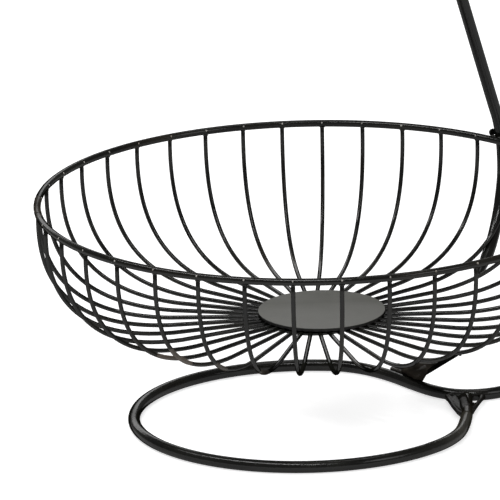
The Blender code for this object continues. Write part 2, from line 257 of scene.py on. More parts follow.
def rounded(corners, bends):
    """Straight runs joined by arcs of these bend radii."""
    path = [corners[0]]
    for index, bend in enumerate(bends, start=1):
        corner = corners[index]
        into = (corner - corners[index - 1]).normalized()
        out = (corners[index + 1] - corner).normalized()
        turn = into.angle(out)
        start = corner - into * bend * math.tan(turn / 2)
        across = (out - into * into.dot(out)).normalized()
        centre = start + across * bend
        count = max(2, math.ceil(turn / BEND_STEP))
        for part in range(count + 1):
            angle = turn * part / count
            path.append(centre - across * bend * math.cos(angle) + into * bend * math.sin(angle))
    path.append(corners[-1])
    return path


CURVE_PARTS = 12


def smooth_path(path, step):
    """The curve through these points, evenly spaced."""
    dense = []
    last = len(path) - 1
    for index in range(last):
        a, b = path[max(index - 1, 0)], path[index]
        c, d = path[index + 1], path[min(index + 2, last)]
        square, cube = 2 * a - 5 * b + 4 * c - d, 3 * b - a - 3 * c + d
        for part in range(CURVE_PARTS):
            t = part / CURVE_PARTS
            dense.append((2 * b + (c - a) * t + square * t**2 + cube * t**3) / 2)
    dense.append(path[-1])
    return even(dense, step)


def even(dense, step):
    """The same line with points about one step apart."""
    lengths = [0.0]
    for before, after in zip(dense, dense[1:]):
        lengths.append(lengths[-1] + (after - before).length)
    count = max(2, round(lengths[-1] / step))
    found, index = [dense[0]], 0
    for part in range(1, count):
        goal = lengths[-1] * part / count
        while lengths[index + 1] < goal:
            index += 1
        share = (goal - lengths[index]) / (lengths[index + 1] - lengths[index])
        found.append(dense[index].lerp(dense[index + 1], share))
    found.append(dense[-1])
    return found


BEAD_RINGS, BEAD_SEGMENTS = 6, 8
BEAD_NOISE_SCALE = 1.7
BEAD_SEED_SHIFT = Vector((3.1, 1.7, 0.9))
BEAD_ROUGH = 0.12
UNEVEN = 0.12
RUN_BEAT = 1.9


def bead(centre, ways, halves, seed, rough=BEAD_ROUGH):
    """Points and faces of one weld bead: an uneven ellipsoid with three half-axes."""
    arms = [way * half for way, half in zip(ways, halves)]
    points = []
    for ring in range(1, BEAD_RINGS):
        tilt = math.pi * ring / BEAD_RINGS
        for step in range(BEAD_SEGMENTS):
            turn = FULL_TURN * step / BEAD_SEGMENTS
            unit = Vector((math.sin(tilt) * math.cos(turn), math.sin(tilt) * math.sin(turn),
                           math.cos(tilt)))
            grow = 1 + rough * noise.noise(unit * BEAD_NOISE_SCALE + BEAD_SEED_SHIFT * seed)
            points.append(centre + (arms[0] * unit.x + arms[1] * unit.y + arms[2] * unit.z) * grow)
    top, bottom = len(points), len(points) + 1
    points += [centre + arms[2], centre - arms[2]]
    faces = ring_quads(BEAD_RINGS - 1, BEAD_SEGMENTS, closed_rings=False)
    last = (BEAD_RINGS - 2) * BEAD_SEGMENTS
    for step in range(BEAD_SEGMENTS):
        after = (step + 1) % BEAD_SEGMENTS
        faces.append((top, step, after))
        faces.append((bottom, last + after, last + step))
    return points, faces


def bead_run(spots, radius, seed):
    """A run of overlapping round beads."""
    axes = Matrix.Identity(3)
    shapes = []
    for index, spot in enumerate(spots):
        size = radius * (1 + UNEVEN * math.sin(index * RUN_BEAT + seed))
        shapes.append(bead(spot, axes, [size] * 3, seed + index))
    return joined(shapes)


def joined(shapes):
    points, faces = [], []
    for more_points, more_faces in shapes:
        start = len(points)
        points += more_points
        faces += [tuple(start + index for index in face) for face in more_faces]
    return points, faces


MELT_VOXEL = 0.5 * MM
MELT_ROUNDS = 4


def weld_mass(name, shapes, finish, body):
    """Shapes melted into one smooth weld."""
    points, faces = joined(shapes)
    mesh = bpy.data.meshes.new(name + "_raw")
    mesh.from_pydata([tuple(point) for point in points], [], faces)
    raw = bpy.data.objects.new(name + "_raw", mesh)
    bpy.context.scene.collection.objects.link(raw)
    melt = raw.modifiers.new("melt", "REMESH")
    melt.mode = "VOXEL"
    melt.voxel_size = MELT_VOXEL
    soften = raw.modifiers.new("soften", "SMOOTH")
    soften.factor = 0.5
    soften.iterations = MELT_ROUNDS
    graph = bpy.context.evaluated_depsgraph_get()
    graph.update()
    melted = bpy.data.meshes.new_from_object(raw.evaluated_get(graph))
    melted.name = name
    bpy.data.objects.remove(raw, do_unlink=True)
    bpy.data.meshes.remove(mesh)
    melted.shade_smooth()
    melted.materials.clear()
    return add_mesh(melted, name, finish, body)


# Materials


class Look:
    """A material, with short ways to add nodes to it."""

    def __init__(self, name):
        self.material = bpy.data.materials.new(name)
        self.material.use_nodes = True
        self.nodes = self.material.node_tree.nodes
        self.links = self.material.node_tree.links
        self.shader = self.nodes["Principled BSDF"]
        self.coords = self.nodes.new("ShaderNodeTexCoord").outputs["Object"]

    def connect(self, socket, name):
        self.links.new(socket, self.shader.inputs[name])

    def base(self):
        return self.shader.inputs["Base Color"].links[0].from_socket

    def grain(self, scale, detail=2.0, coords=None):
        texture = self.nodes.new("ShaderNodeTexNoise")
        texture.inputs["Scale"].default_value = scale
        texture.inputs["Detail"].default_value = detail
        texture.inputs["Roughness"].default_value = 0.5
        self.links.new(coords or self.coords, texture.inputs["Vector"])
        return texture.outputs["Fac"]

    def span(self, value, low, high, to_low=0.0, to_high=1.0):
        mapped = self.nodes.new("ShaderNodeMapRange")
        mapped.inputs["From Min"].default_value = low
        mapped.inputs["From Max"].default_value = high
        mapped.inputs["To Min"].default_value = to_low
        mapped.inputs["To Max"].default_value = to_high
        self.links.new(value, mapped.inputs["Value"])
        return mapped.outputs["Result"]

    def mix(self, share, first, second):
        """Two colours, each one a tuple or a socket; the inputs 6 and 7 are the colour ones."""
        mixed = self.nodes.new("ShaderNodeMix")
        mixed.data_type = "RGBA"
        self.links.new(share, mixed.inputs[0])
        for socket, value in ((mixed.inputs[6], first), (mixed.inputs[7], second)):
            if isinstance(value, tuple):
                socket.default_value = (*value, 1)
            else:
                self.links.new(value, socket)
        return mixed.outputs[2]

    def bump(self, height, strength, distance, before=None):
        raised = self.nodes.new("ShaderNodeBump")
        raised.inputs["Strength"].default_value = strength
        raised.inputs["Distance"].default_value = distance
        self.links.new(height, raised.inputs["Height"])
        if before is not None:
            self.links.new(before, raised.inputs["Normal"])
        return raised.outputs["Normal"]

    def axis(self, socket, name):
        split = self.nodes.new("ShaderNodeSeparateXYZ")
        self.links.new(socket, split.inputs[0])
        return split.outputs[name]


DUST = (0.07, 0.067, 0.062)
SLOW_SCALE, PATCH_SCALE, SPECK_SCALE = 38.0, 17.0, 950.0
PEEL_SCALE, WAVE_SCALE = 700.0, 120.0
PEEL_HEIGHT, WAVE_HEIGHT = 0.25 * MM, 0.6 * MM
WAVE_SHARE = 0.6
SLOW_DETAIL = 4.0
SLOW_SPAN, PATCH_SPAN, SPECK_SPAN = (0.35, 0.68), (0.55, 0.75), (0.66, 0.78)
PATCH_MOST = 0.8
ROUGH_SPAN, ROUGH_BELOW, ROUGH_ABOVE = (0.3, 0.7), 0.05, 0.07
GRAZING_SPAN = (0.08, 0.72)
FLAT_SPAN = (0.5, 0.93)
LINE_STRETCH = (60.0, 60.0, 4000.0)
LINE_HEIGHT = 0.05 * MM
SMUDGE_SCALE = 260.0
SMUDGE_ROUGHNESS = (0.24, 0.4)


def paint(name, dark, light, warm, roughness, peel, gloss=0.27, dust=0.2):
    """Powder paint: orange peel, slow drift, warm patches, specks and dull grazing edges."""
    look = Look(name)
    slow = look.grain(SLOW_SCALE, SLOW_DETAIL)
    patch, speck = look.grain(PATCH_SCALE), look.grain(SPECK_SCALE)
    base = look.mix(look.span(slow, *SLOW_SPAN), dark, light)
    base = look.mix(look.span(patch, *PATCH_SPAN, to_high=PATCH_MOST), base, warm)
    base = look.mix(look.span(speck, *SPECK_SPAN, to_high=dust), base, DUST)
    look.connect(base, "Base Color")
    look.connect(look.span(slow, *ROUGH_SPAN, roughness - ROUGH_BELOW, roughness + ROUGH_ABOVE),
                 "Roughness")
    fine = look.bump(look.grain(PEEL_SCALE), peel, PEEL_HEIGHT)
    waves = look.bump(look.grain(WAVE_SCALE), peel * WAVE_SHARE, WAVE_HEIGHT, before=fine)
    look.connect(waves, "Normal")
    facing = look.nodes.new("ShaderNodeLayerWeight")
    facing.inputs["Blend"].default_value = 0.5
    dulled = look.span(facing.outputs["Facing"], *GRAZING_SPAN, gloss, 0.0)
    look.connect(dulled, "Specular IOR Level")
    return look


def paint_shade_on_edges(look, colour):
    """Painted shade: faces turned away from up, the sheet's rolled edge and side wall, are mixed to
    near black; the flat top stays grey.
    """
    normal = look.nodes.new("ShaderNodeNewGeometry").outputs["True Normal"]
    flat = look.span(look.axis(normal, "Z"), *FLAT_SPAN)
    look.connect(look.mix(flat, colour, look.base()), "Base Color")


def fade_out(look, colour, first, last):
    """A tint that fades into the plain coat between two places along Y."""
    share = look.span(look.axis(look.coords, "Y"), last, first, 1.0, 0.0)
    look.connect(look.mix(share, look.base(), colour), "Base Color")


def turned_steel(name):
    """Bright steel with fine turning lines and smudges."""
    look = Look(name)
    stretch = look.nodes.new("ShaderNodeMapping")
    stretch.inputs["Scale"].default_value = LINE_STRETCH
    look.links.new(look.coords, stretch.inputs["Vector"])
    lines = look.grain(1.0, detail=3.0, coords=stretch.outputs["Vector"])
    smudge = look.grain(SMUDGE_SCALE, detail=3.0)
    look.connect(look.mix(smudge, (0.52, 0.51, 0.49), (0.68, 0.67, 0.65)), "Base Color")
    look.shader.inputs["Metallic"].default_value = 1.0
    look.connect(look.span(smudge, *ROUGH_SPAN, *SMUDGE_ROUGHNESS), "Roughness")
    look.connect(look.bump(lines, strength=0.25, distance=LINE_HEIGHT), "Normal")
    return look


black = paint("satin_black", dark=(0.002, 0.002, 0.0018), light=(0.0085, 0.0087, 0.0068),
              warm=(0.016, 0.0135, 0.0095), roughness=0.17, peel=0.2)
weld_black = paint("weld_black", dark=(0.003, 0.0028, 0.0025), light=(0.017, 0.015, 0.0125),
                   warm=(0.035, 0.026, 0.019), roughness=0.25, peel=0.7, gloss=0.25)
# Lighter brown paint; on the strut's web it is a painted highlight for the lit top.
light_brown_paint = paint("light_brown_paint", dark=(0.015, 0.0135, 0.0115), light=(0.05, 0.044, 0.037),
                   warm=(0.08, 0.062, 0.047), roughness=0.3, peel=0.5, gloss=0.45)
# Lighter brown for the neck: a painted highlight on the rod over a heat tint, fading out along the
# rod.
neck_highlight_paint = paint("neck_highlight_paint", dark=(0.008, 0.0078, 0.0062), light=(0.028, 0.0272, 0.0212),
                   warm=(0.036, 0.0335, 0.0265), roughness=0.22, peel=0.35, gloss=0.36)
fade_out(neck_highlight_paint, (0.006, 0.006, 0.005), first=-40 * MM, last=-66 * MM)
# Pale brown paint for painted highlights along the lower ribs' bends.
rib_highlight = paint("rib_highlight_paint", dark=(0.018, 0.0155, 0.013), light=(0.085, 0.072, 0.061),
               warm=(0.15, 0.122, 0.1), roughness=0.32, peel=0.4, gloss=0.4)
fork_black = paint("fork_black", dark=(0.002, 0.002, 0.0017), light=(0.0075, 0.0072, 0.006),
                   warm=(0.012, 0.0105, 0.008), roughness=0.3, peel=0.6, gloss=0.1)
# Light grey paint for the rim dots: painted glints where the welds catch the light.
glint_paint = paint("painted_glint_tip", dark=(0.22, 0.21, 0.195), light=(0.42, 0.405, 0.375),
             warm=(0.3, 0.24, 0.18), roughness=0.35, peel=0.3, gloss=0.4)
grey = paint("disc_grey", dark=(0.096, 0.096, 0.089), light=(0.113, 0.113, 0.106),
             warm=(0.104, 0.102, 0.094), roughness=0.56, peel=0.16, gloss=0.3, dust=0.1)
# Painted shade on the disc's edge: its side wall is darkened as if in shadow.
paint_shade_on_edges(grey, (0.006, 0.0058, 0.0052))
steel = turned_steel("turned_steel")


# Bowls

class Bowl:
    """One tier: a rim, ribs bent in pairs, a disc over their inner ends and a plate below."""

    OUTLINE_SHARES = ((-0.021, 0.652), (0.302, 0.986))
    SLOPE_SHARE = 0.001
    HALVINGS = 30
    RUN_STEPS = 30
    TURN_RADIUS = 22 * MM
    TURN_STEPS = 12
    TURN_LIFT = 0.6 * MM
    EASE_SHARE, EASE_DROP = 0.65, 0.2 * MM
    RIM_STEPS = 240
    # Half-axes of the beads and dots, and how deep they sit in the rim
    RIM_BEAD = (1.45 * MM, 1.6 * MM, 0.95 * MM)
    BEAD_SUNK = 0.1 * MM
    RIM_DOT = (0.56 * MM, 0.32 * MM, 0.56 * MM)
    DOT_SUNK = 0.12 * MM
    DOT_OUT, DOT_UP = 0.88, 0.42
    DOT_ROUGH = 0.2
    SIZE_BEAT = 2.4
    DOT_SEED, FLOOR_SEED = 50, 90
    FLOOR_BEAD = (1.3 * MM, 1.2 * MM, 0.8 * MM)
    FLOOR_BEAD_SHIFT = 0.2 * MM
    DISC_STEPS, DISC_ROUNDING = 96, 0.6 * MM
    PLATE_STEPS, PLATE_ROUNDING = 72, 0.35 * MM

    def __init__(self, name, body, rim, rim_height, depth, floor, ribs, uneven, disc_shift):
        self.name, self.body = name, body
        self.rim, self.rim_height, self.depth, self.floor = rim, rim_height, depth, floor
        self.ribs, self.uneven, self.disc_shift = ribs, uneven, disc_shift
        self.top = rim_height - RIM - GAP
        self.low = self.top - depth
        self.inner = self.low + self.TURN_LIFT

    def outline(self, share):
        """Radius and height of a rib's middle, from the rim at 0 to the floor at 1."""
        start, end = Vector((self.rim, self.top)), Vector((self.floor, self.low))
        size = Vector((start.x - end.x, self.depth))
        first, second = (start - size * Vector(shares) for shares in self.OUTLINE_SHARES)
        left = 1 - share
        ends = left**3 * start + share**3 * end
        return ends + 3 * left * share * (left * first + share * second)

    def outside(self, share, distance):
        """A place outside the ribs, this far from their middles."""
        ahead = self.outline(min(share + self.SLOPE_SHARE, 1.0))
        behind = self.outline(max(share - self.SLOPE_SHARE, 0.0))
        along = (ahead - behind).normalized()
        return self.outline(share) + Vector((-along.y, along.x)) * distance

    def height_at(self, radius):
        """Height of the ribs' middles at this radius."""
        low, high = 0.0, 1.0
        for _ in range(self.HALVINGS):
            middle = (low + high) / 2
            if self.outline(middle).x > radius:
                low = middle
            else:
                high = middle
        return self.outline(low).y

    def angle(self, index):
        """The ribs are evenly spaced but for a slow drift, as in the photograph."""
        level = FIRST_RIB - FULL_TURN * index / self.ribs
        drift = DRIFT * math.cos(level - DRIFT_WAY) + SWAY * math.cos(2 * (level - SWAY_WAY))
        return level + self.uneven * drift

    def ways(self, angle):
        return towards(angle), towards(angle + math.pi / 2)

    def run(self, angle):
        """A rib's middle from the rim to where it turns back."""
        path = []
        for step in range(self.RUN_STEPS + 1):
            radius, height = self.outline(step / self.RUN_STEPS)
            path.append(polar(radius, angle, height))
        ease = (1 - self.EASE_SHARE) * self.floor + self.EASE_SHARE * self.TURN_RADIUS
        path.append(polar(ease, angle, self.inner - self.EASE_DROP))
        path.append(polar(self.TURN_RADIUS, angle, self.inner))
        return path

    def add_pair(self, index):
        first, second = self.angle(2 * index), self.angle(2 * index + 1)
        half, middle = (first - second) / 2, (first + second) / 2
        spread = self.TURN_RADIUS * math.sin(half)
        centre = polar(self.TURN_RADIUS * math.cos(half), middle, self.inner)
        out, along = self.ways(middle)
        bend = []
        for step in range(1, self.TURN_STEPS):
            turn = math.pi * step / self.TURN_STEPS
            bend.append(centre + spread * (along * math.cos(turn) - out * math.sin(turn)))
        path = self.run(first) + bend + self.run(second)[::-1]
        name = f"{self.name}_rib_pair_{index + 1:02d}"
        piece = wire(name + "_wire", path, RIB, RIB_SIDES, black, self.body,
                     up=towards(first), ends=("cut", "cut"))
        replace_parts(piece, name)

    def add_rim(self):
        path = [polar(self.rim, FULL_TURN * step / self.RIM_STEPS, self.rim_height)
                for step in range(self.RIM_STEPS)]
        piece = wire(self.name + "_rim_wire", path, RIM, RIM_SIDES, black, self.body, closed=True)
        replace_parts(piece, self.name + "_rim")

    def add_rim_welds(self):
        """A bead under the rim at each rib, and a light dot on each side of the rim: painted glints
        on the welds.
        """
        beads, dots = [], []
        for index in range(self.ribs):
            angle = self.angle(index)
            out, along = self.ways(angle)
            size = 1 + UNEVEN * math.sin(index * self.SIZE_BEAT)
            wide, long, tall = self.RIM_BEAD
            under = polar(self.rim, angle, self.rim_height - RIM + self.BEAD_SUNK)
            beads.append(bead(under, (out, along, lift(1)), (wide * size, long * size, tall),
                              index))
            wide, tall, long = self.RIM_DOT
            for side in (-1, 1):
                face = (out * side * self.DOT_OUT + lift(self.DOT_UP)).normalized()
                spot = polar(self.rim, angle, self.rim_height) + face * (RIM - self.DOT_SUNK)
                dots.append(bead(spot, (along, face, face.cross(along)),
                                 (wide * size, tall, long), self.DOT_SEED + index,
                                 self.DOT_ROUGH))
        add_piece(self.name + "_rim_welds", *joined(beads), weld_black, self.body)
        add_piece(self.name + "_rim_dots", *joined(dots), glint_paint, self.body)

    def add_disc(self):
        low = self.inner + RIB + GAP
        top = low + DISC_THICK
        under, inside = top - DISC_WALL, DISC - DISC_WALL
        corners = [(0, under), (inside, under), (inside, low), (DISC, low), (DISC, top), (0, top)]
        outline = rounded_outline(corners, self.DISC_ROUNDING)
        piece = lathe(self.name + "_disc_cap", outline, self.DISC_STEPS, grey, self.body)
        piece.data.transform(Matrix.Translation(self.disc_shift))
        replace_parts(piece, self.name + "_disc")

    def add_plate(self, bore):
        high = self.inner - RIB - GAP
        outline = box_outline(bore, PLATE, high - PLATE_THICK, high, self.PLATE_ROUNDING)
        piece = lathe(self.name + "_plate", outline, self.PLATE_STEPS, black, self.body)
        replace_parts(piece, self.name + "_floor_plate")

    def add_floor_welds(self):
        """Small tacks where the ribs cross the plate's edge."""
        beads = []
        for index in range(self.ribs):
            angle = self.angle(index)
            spot = polar(PLATE + self.FLOOR_BEAD_SHIFT, angle,
                         self.inner - RIB - self.FLOOR_BEAD_SHIFT)
            beads.append(bead(spot, (*self.ways(angle), lift(1)), self.FLOOR_BEAD,
                              self.FLOOR_SEED + index))
        add_piece(self.name + "_floor_welds", *joined(beads), weld_black, self.body)

    def add_all(self, bore):
        self.add_rim()
        self.add_rim_welds()
        for index in range(self.ribs // 2):
            self.add_pair(index)
        self.add_disc()
        self.add_plate(bore)
        self.add_floor_welds()


lower = Bowl("lower", "stand", rim=150 * MM, rim_height=126 * MM, depth=65.4 * MM,
             floor=80 * MM, ribs=38, uneven=1.0, disc_shift=in_mm(4, 3, 0))
UPPER_DEPTH = 55.2 * MM
upper_floor = HUB_HEIGHT + ROD + GAP + PLATE_THICK + 2 * GAP + RIB - Bowl.TURN_LIFT
upper = Bowl("upper", "upper_bowl", rim=120 * MM, rim_height=upper_floor + UPPER_DEPTH + GAP + RIM,
             depth=UPPER_DEPTH, floor=62 * MM, ribs=32, uneven=0.0, disc_shift=in_mm(0, 0, 0))
lower.add_all(bore=0)
upper.add_all(bore=BORE)


# Pole: the shares of the bowl's side that it follows, with how far it stands off in mm

POLE_HUGS = ((0.74, 0), (0.64, 0), (0.54, 0), (0.42, 0), (0.3, 1.2), (0.16, 3.4), (0.05, 2))
POLE_FOOT_WAY = math.radians(36.8)
POLE_SWING = math.radians(10)
POLE_SWING_POWER = 0.8
POLE_LEAN = math.radians(21.1)
POLE_BEND = 11 * MM
POLE_TURN = 30 * MM
POLE_STEP = 2 * MM


def add_pole():
    """Welded up the outside of the lower bowl, then leaning in to the hub."""
    hugs = [lower.outside(share, RIB + GAP + ROD + standoff * MM)
            for share, standoff in POLE_HUGS]
    least, most = min(radius for radius, _ in hugs), max(radius for radius, _ in hugs)
    knots = []
    for radius, height in hugs:
        swing = ((radius - least) / (most - least)) ** POLE_SWING_POWER
        knots.append(polar(radius, POLE_FOOT_WAY + POLE_SWING * swing, height))
    beside_rim = lower.rim + RIM + GAP + ROD
    knots.append(polar(beside_rim + GAP, POLE_WAY, lower.rim_height))
    lean = math.tan(POLE_LEAN)
    lean_height = lower.rim_height + POLE_BEND
    lean_radius = beside_rim - POLE_BEND * lean / 2
    start = polar(lean_radius, POLE_WAY, lean_height)
    corner = polar(lean_radius - (HUB_HEIGHT - lean_height) * lean, POLE_WAY, HUB_HEIGHT)
    early = start.lerp(corner, POLE_BEND / (corner - start).length)
    path = smooth_path(knots + [start, early], POLE_STEP)[:-1]
    path += rounded([early, corner, polar(HUB + GAP, POLE_WAY, HUB_HEIGHT)], [POLE_TURN])
    radii = [ROD * share for share in taper(len(path), thin=0.42, reach=9, power=0.8)]
    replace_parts(wire("pole_rod", path, radii, ROD_SIDES, black, "stand", ends=("dome", "cut")),
                "pole")
    return path


pole_path = add_pole()
widest = max(point.xy.length for point in pole_path)


# Base rod: its places on the table in mm, and the oval between its two routes

NECK_ROUTE = ((83.2, 4), (82.3, -14), (79.2, -34), (75.1, -45.4))
OVAL_CENTRE, OVAL_HALVES = (-6.3, -3.3), (93.9, 87.2)
OVAL_START, OVAL_TURN = math.radians(-37), math.radians(245)
OVAL_POINTS = 42
CROSSING = (83.5, 26.2)
FOOT_ROUTE = ((24.5, 77.2), (34.5, 69.8), (44, 60), (54, 47.2), (64, 35.8), (74, 28.6), CROSSING,
              (93, 26.9), (102.5, 30.7), (117, 40), (129, 55), (134, 75), (131.5, 92),
              (124.5, 105.5))
RISER_TOP = 116 * MM
RISER_BEND = 15 * MM
BASE_STEP = 3 * MM


def on_table(route):
    return [Vector((x * MM, y * MM, ROD)) for x, y in route]


def add_base_rod():
    """From its butted start round the oval, over the crossing and up outside the pole."""
    start = on_table([CROSSING])[0] - Vector((0, ROD + GAP, 0))
    oval = []
    for part in range(OVAL_POINTS):
        angle = OVAL_START - OVAL_TURN * part / (OVAL_POINTS - 1)
        oval.append((OVAL_CENTRE[0] + OVAL_HALVES[0] * math.cos(angle),
                     OVAL_CENTRE[1] + OVAL_HALVES[1] * math.sin(angle)))
    route = [start] + on_table(NECK_ROUTE) + on_table(oval) + on_table(FOOT_ROUTE)
    rise = polar(widest + 2 * ROD + GAP, POLE_WAY, ROD)
    path = smooth_path(route, BASE_STEP)
    path += rounded([route[-1], rise, rise + lift(RISER_TOP - ROD)], [RISER_BEND])[1:]
    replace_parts(wire("base_rod_loop", path, ROD, ROD_SIDES, black, "stand", ends=("cut", "dome")),
                "base_rod")
    return path


base_path = add_base_rod()


# Strut: it lies along the base rod, slightly raised, and stands up to the bowl's underside

STRUT_HEAD = (77.1 * MM, -56.5 * MM)
STRUT_BEND = 9 * MM
STRUT_ASIDE = math.radians(46)
STRUT_TIP = 6 * MM
STRUT_STEP = 2 * MM

strut_tail, strut_foot = on_table(((42, 65), (54.5, 47.5)))
strut_along = (strut_foot - strut_tail).normalized()
perch = ROD + GAP + STRUT
strut_aside = Vector((-strut_along.y, strut_along.x, 0)) * perch * math.cos(STRUT_ASIDE)
strut_aside.z = perch * math.sin(STRUT_ASIDE)
head_height = lower.height_at(math.hypot(*STRUT_HEAD)) - RIB - GAP - STRUT
strut_head = Vector((*STRUT_HEAD, head_height))


def add_strut():
    level = ((strut_head - strut_foot) * Vector((1, 1, 0))).normalized()
    corners = [strut_tail + strut_aside, strut_foot + strut_aside, strut_head,
               strut_head + level * STRUT_TIP]
    path = even(rounded(corners, [STRUT_BEND, STRUT_BEND]), STRUT_STEP)
    radii = [STRUT * share for share in taper(len(path), thin=0.45, reach=7)][::-1]
    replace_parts(wire("strut_wire", path, radii, THIN_SIDES, black, "stand"), "bowl_strut")


add_strut()


# Lug on the lower rim, beside the pole

LUG_OUT = 3.2 * MM
LUG_LENGTH = 2.5 * MM
LUG_STEP = 0.5 * MM

beside_pole = towards(POLE_WAY + math.pi / 2)


def add_lug():
    height = lower.rim_height + math.sqrt((RIM + GAP + LUG) ** 2 - LUG_OUT ** 2)
    start = polar(lower.rim + LUG_OUT, POLE_WAY, height) + beside_pole * (ROD + GAP)
    path = even([start, start + beside_pole * LUG_LENGTH], LUG_STEP)
    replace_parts(wire("rim_lug_bar", path, LUG, THIN_SIDES, black, "stand"), "rim_lug")


add_lug()


# Screw joint of the upper bowl

TURNED_STEPS = 64
HUB_ROUNDING, WASHER_ROUNDING, KNOB_ROUNDING = 0.7 * MM, 0.25 * MM, 1.1 * MM
hub_low = HUB_HEIGHT - ROD - HUB_BELOW_ROD
hub_high = upper.inner - RIB - GAP - PLATE_THICK - GAP
washer_high = hub_low - GAP
washer_low = washer_high - WASHER_THICK
knob_high = washer_low - GAP
knob_low = knob_high - KNOB_THICK


def add_hub():
    outline = box_outline(BORE, HUB, hub_low, hub_high, HUB_ROUNDING)
    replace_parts(lathe("hub_sleeve", outline, TURNED_STEPS, black, "stand"), "hub")


def add_washer():
    outline = box_outline(BORE, WASHER, washer_low, washer_high, WASHER_ROUNDING)
    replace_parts(lathe("washer_ring", outline, TURNED_STEPS, steel, "upper_bowl"), "washer")


KNOB_STEPS = 144
LOBES = 6
LOBE_DIP = 0.9 * MM
LOBE_START = 1.5 * MM
LOBE_REACH = 4.5 * MM


def lobe_dip(radius, angle):
    share = min(max((radius - BORE - LOBE_START) / LOBE_REACH, 0.0), 1.0)
    return LOBE_DIP * (1 - math.cos(LOBES * angle)) / 2 * share


def add_thumb_nut():
    """Six soft lobes with rounded edges and a chamfered bore."""
    outline = box_outline(BORE, KNOB, knob_low, knob_high, KNOB_ROUNDING)
    piece = lathe("thumb_nut_knob", outline, KNOB_STEPS, black, "upper_bowl", lobe_dip)
    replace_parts(piece, "thumb_nut")


PITCH = 0.8 * MM
THREAD_DEPTH = 0.32 * MM
CREST_SHARES = (0.4, 0.5)
TIP_IN, TIP_UP = 0.5 * MM, 0.4 * MM
HEAD, HEAD_UNDERSIDE, HEAD_TOP = 6 * MM, 5.7 * MM, 5.6 * MM
HEAD_THICK = 1 * MM
HEAD_SIDE_UP, HEAD_SIDE_DOWN = 0.25 * MM, 0.35 * MM
STUD_PAST_NUT = 2 * MM
STUD_STEPS = 48


def add_stud():
    """A threaded stud with a low round head."""
    head_high = upper.inner + RIB + GAP + DISC_THICK - DISC_WALL - GAP
    head_low = head_high - HEAD_THICK
    low = knob_low - STUD_PAST_NUT
    outline = [(0, low), (STUD - TIP_IN, low)]
    height = low + TIP_UP
    while height < head_low - PITCH:
        outline.append((STUD - THREAD_DEPTH, height))
        outline += [(STUD, height + share * PITCH) for share in CREST_SHARES]
        height += PITCH
    outline += [(STUD, head_low), (HEAD_UNDERSIDE, head_low), (HEAD, head_low + HEAD_SIDE_UP),
                (HEAD, head_high - HEAD_SIDE_DOWN), (HEAD_TOP, head_high), (0, head_high)]
    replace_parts(lathe("stud_screw", outline, STUD_STEPS, steel, "upper_bowl"), "stud")


add_hub()
add_washer()
add_thumb_nut()
add_stud()


# Welds of the stand

HUB_BEADS = 22
HUB_BEADS_SHARE = 0.98
HUB_BEAD_TOP = 2.3 * MM
HUB_BEAD, ROD_BEAD = 1.1 * MM, 1.5 * MM
RISER_BEAD_APART = 2.3 * MM
RISER_BEAD_HEIGHTS = range(92, 112, 2)
RIM_BEADS_APART = (1.4, 2.2, 3.0)
RIM_BEADS_UP = 0.8 * MM


def add_pole_welds():
    """Beads round the pole's end, up the riser and where the pole passes the rim."""
    reach = ROD * HUB_BEADS_SHARE
    spots = []
    for index in range(HUB_BEADS):
        angle = FULL_TURN * index / HUB_BEADS
        spots.append(polar(HUB, POLE_WAY, HUB_HEIGHT) + beside_pole * math.cos(angle) * reach
                     + lift(min(math.sin(angle) * reach, HUB_BEAD_TOP)))
    add_piece("hub_weld", *bead_run(spots, HUB_BEAD, seed=3), weld_black, "stand")
    spots = [polar(widest + ROD + GAP / 2, POLE_WAY, height * MM)
             + beside_pole * side * RISER_BEAD_APART
             for side in (-1, 1) for height in RISER_BEAD_HEIGHTS]
    add_piece("riser_weld", *bead_run(spots, ROD_BEAD, seed=7), weld_black, "stand")
    spots = [polar(lower.rim + RIM + GAP / 2, POLE_WAY, lower.rim_height + RIM_BEADS_UP)
             + beside_pole * side * apart * MM for side in (-1, 1) for apart in RIM_BEADS_APART]
    add_piece("pole_rim_weld", *bead_run(spots, ROD_BEAD, seed=17), weld_black, "stand")


def tapered(points, radii):
    return swept(points, [radius * MM for radius in radii], RIB_SIDES)


# The base rod's start butts on its own later stretch, held by a forked weld. Each shape has
# places of x, y and height above the rod's middle, and its radii, in mm.
FORK = (
    (((83, -6, 0.1), (82.6, 3, 0.4), (82, 12, 0.4), (82.2, 22, 0.2)), (3.1, 3.5, 3.6, 3.3)),
    (((82, -11, 0), (78.6, -3.4, 0), (75.8, 7.6, 0), (74.1, 18.4, 0), (73.2, 24.5, 0)),
     (1.9, 1.6, 1.4, 1.6, 2.2)),
    (((79.6, 0, -0.3), (78.4, 8, -0.3), (77.4, 16, -0.3), (76.8, 22, -0.3)), (1.7, 2.2, 2.5, 2.6)),
    (((80, -2, -0.9), (78.4, 8, -0.9), (77.2, 17, -0.9), (76.4, 24, -0.9)), (1.3, 1.5, 1.9, 2.1)),
    (((84.4, -6, 0), (86.4, 1, 0), (88.9, 9.3, 0), (91.1, 17, 0), (92.6, 24, 0)),
     (1.9, 1.6, 1.3, 1.3, 1.9)),
    (((85, 0, -0.6), (86.3, 7, -0.6), (87, 12.5, -0.6)), (1.5, 1.6, 1.5)),
    (((72, 27.5, 0), (77, 24.4, 0), (83, 23.4, 0), (88, 24.2, 0)), (1.9, 2.6, 2.9, 1.9)),
)


def add_fork():
    shapes = [tapered([in_mm(*spot) + lift(ROD) for spot in spots], radii)
              for spots, radii in FORK]
    weld_mass("fork_weld", shapes, fork_black, "stand")


SLEEVE_POINTS = 4


def sunk_sleeve(radius, count, proud, drop):
    """Radii of a thin sleeve round a wire that sinks into it at both ends, in mm."""
    return [radius + (proud - drop * max(SLEEVE_POINTS - min(index, count - 1 - index), 0)) * MM
            for index in range(count)]


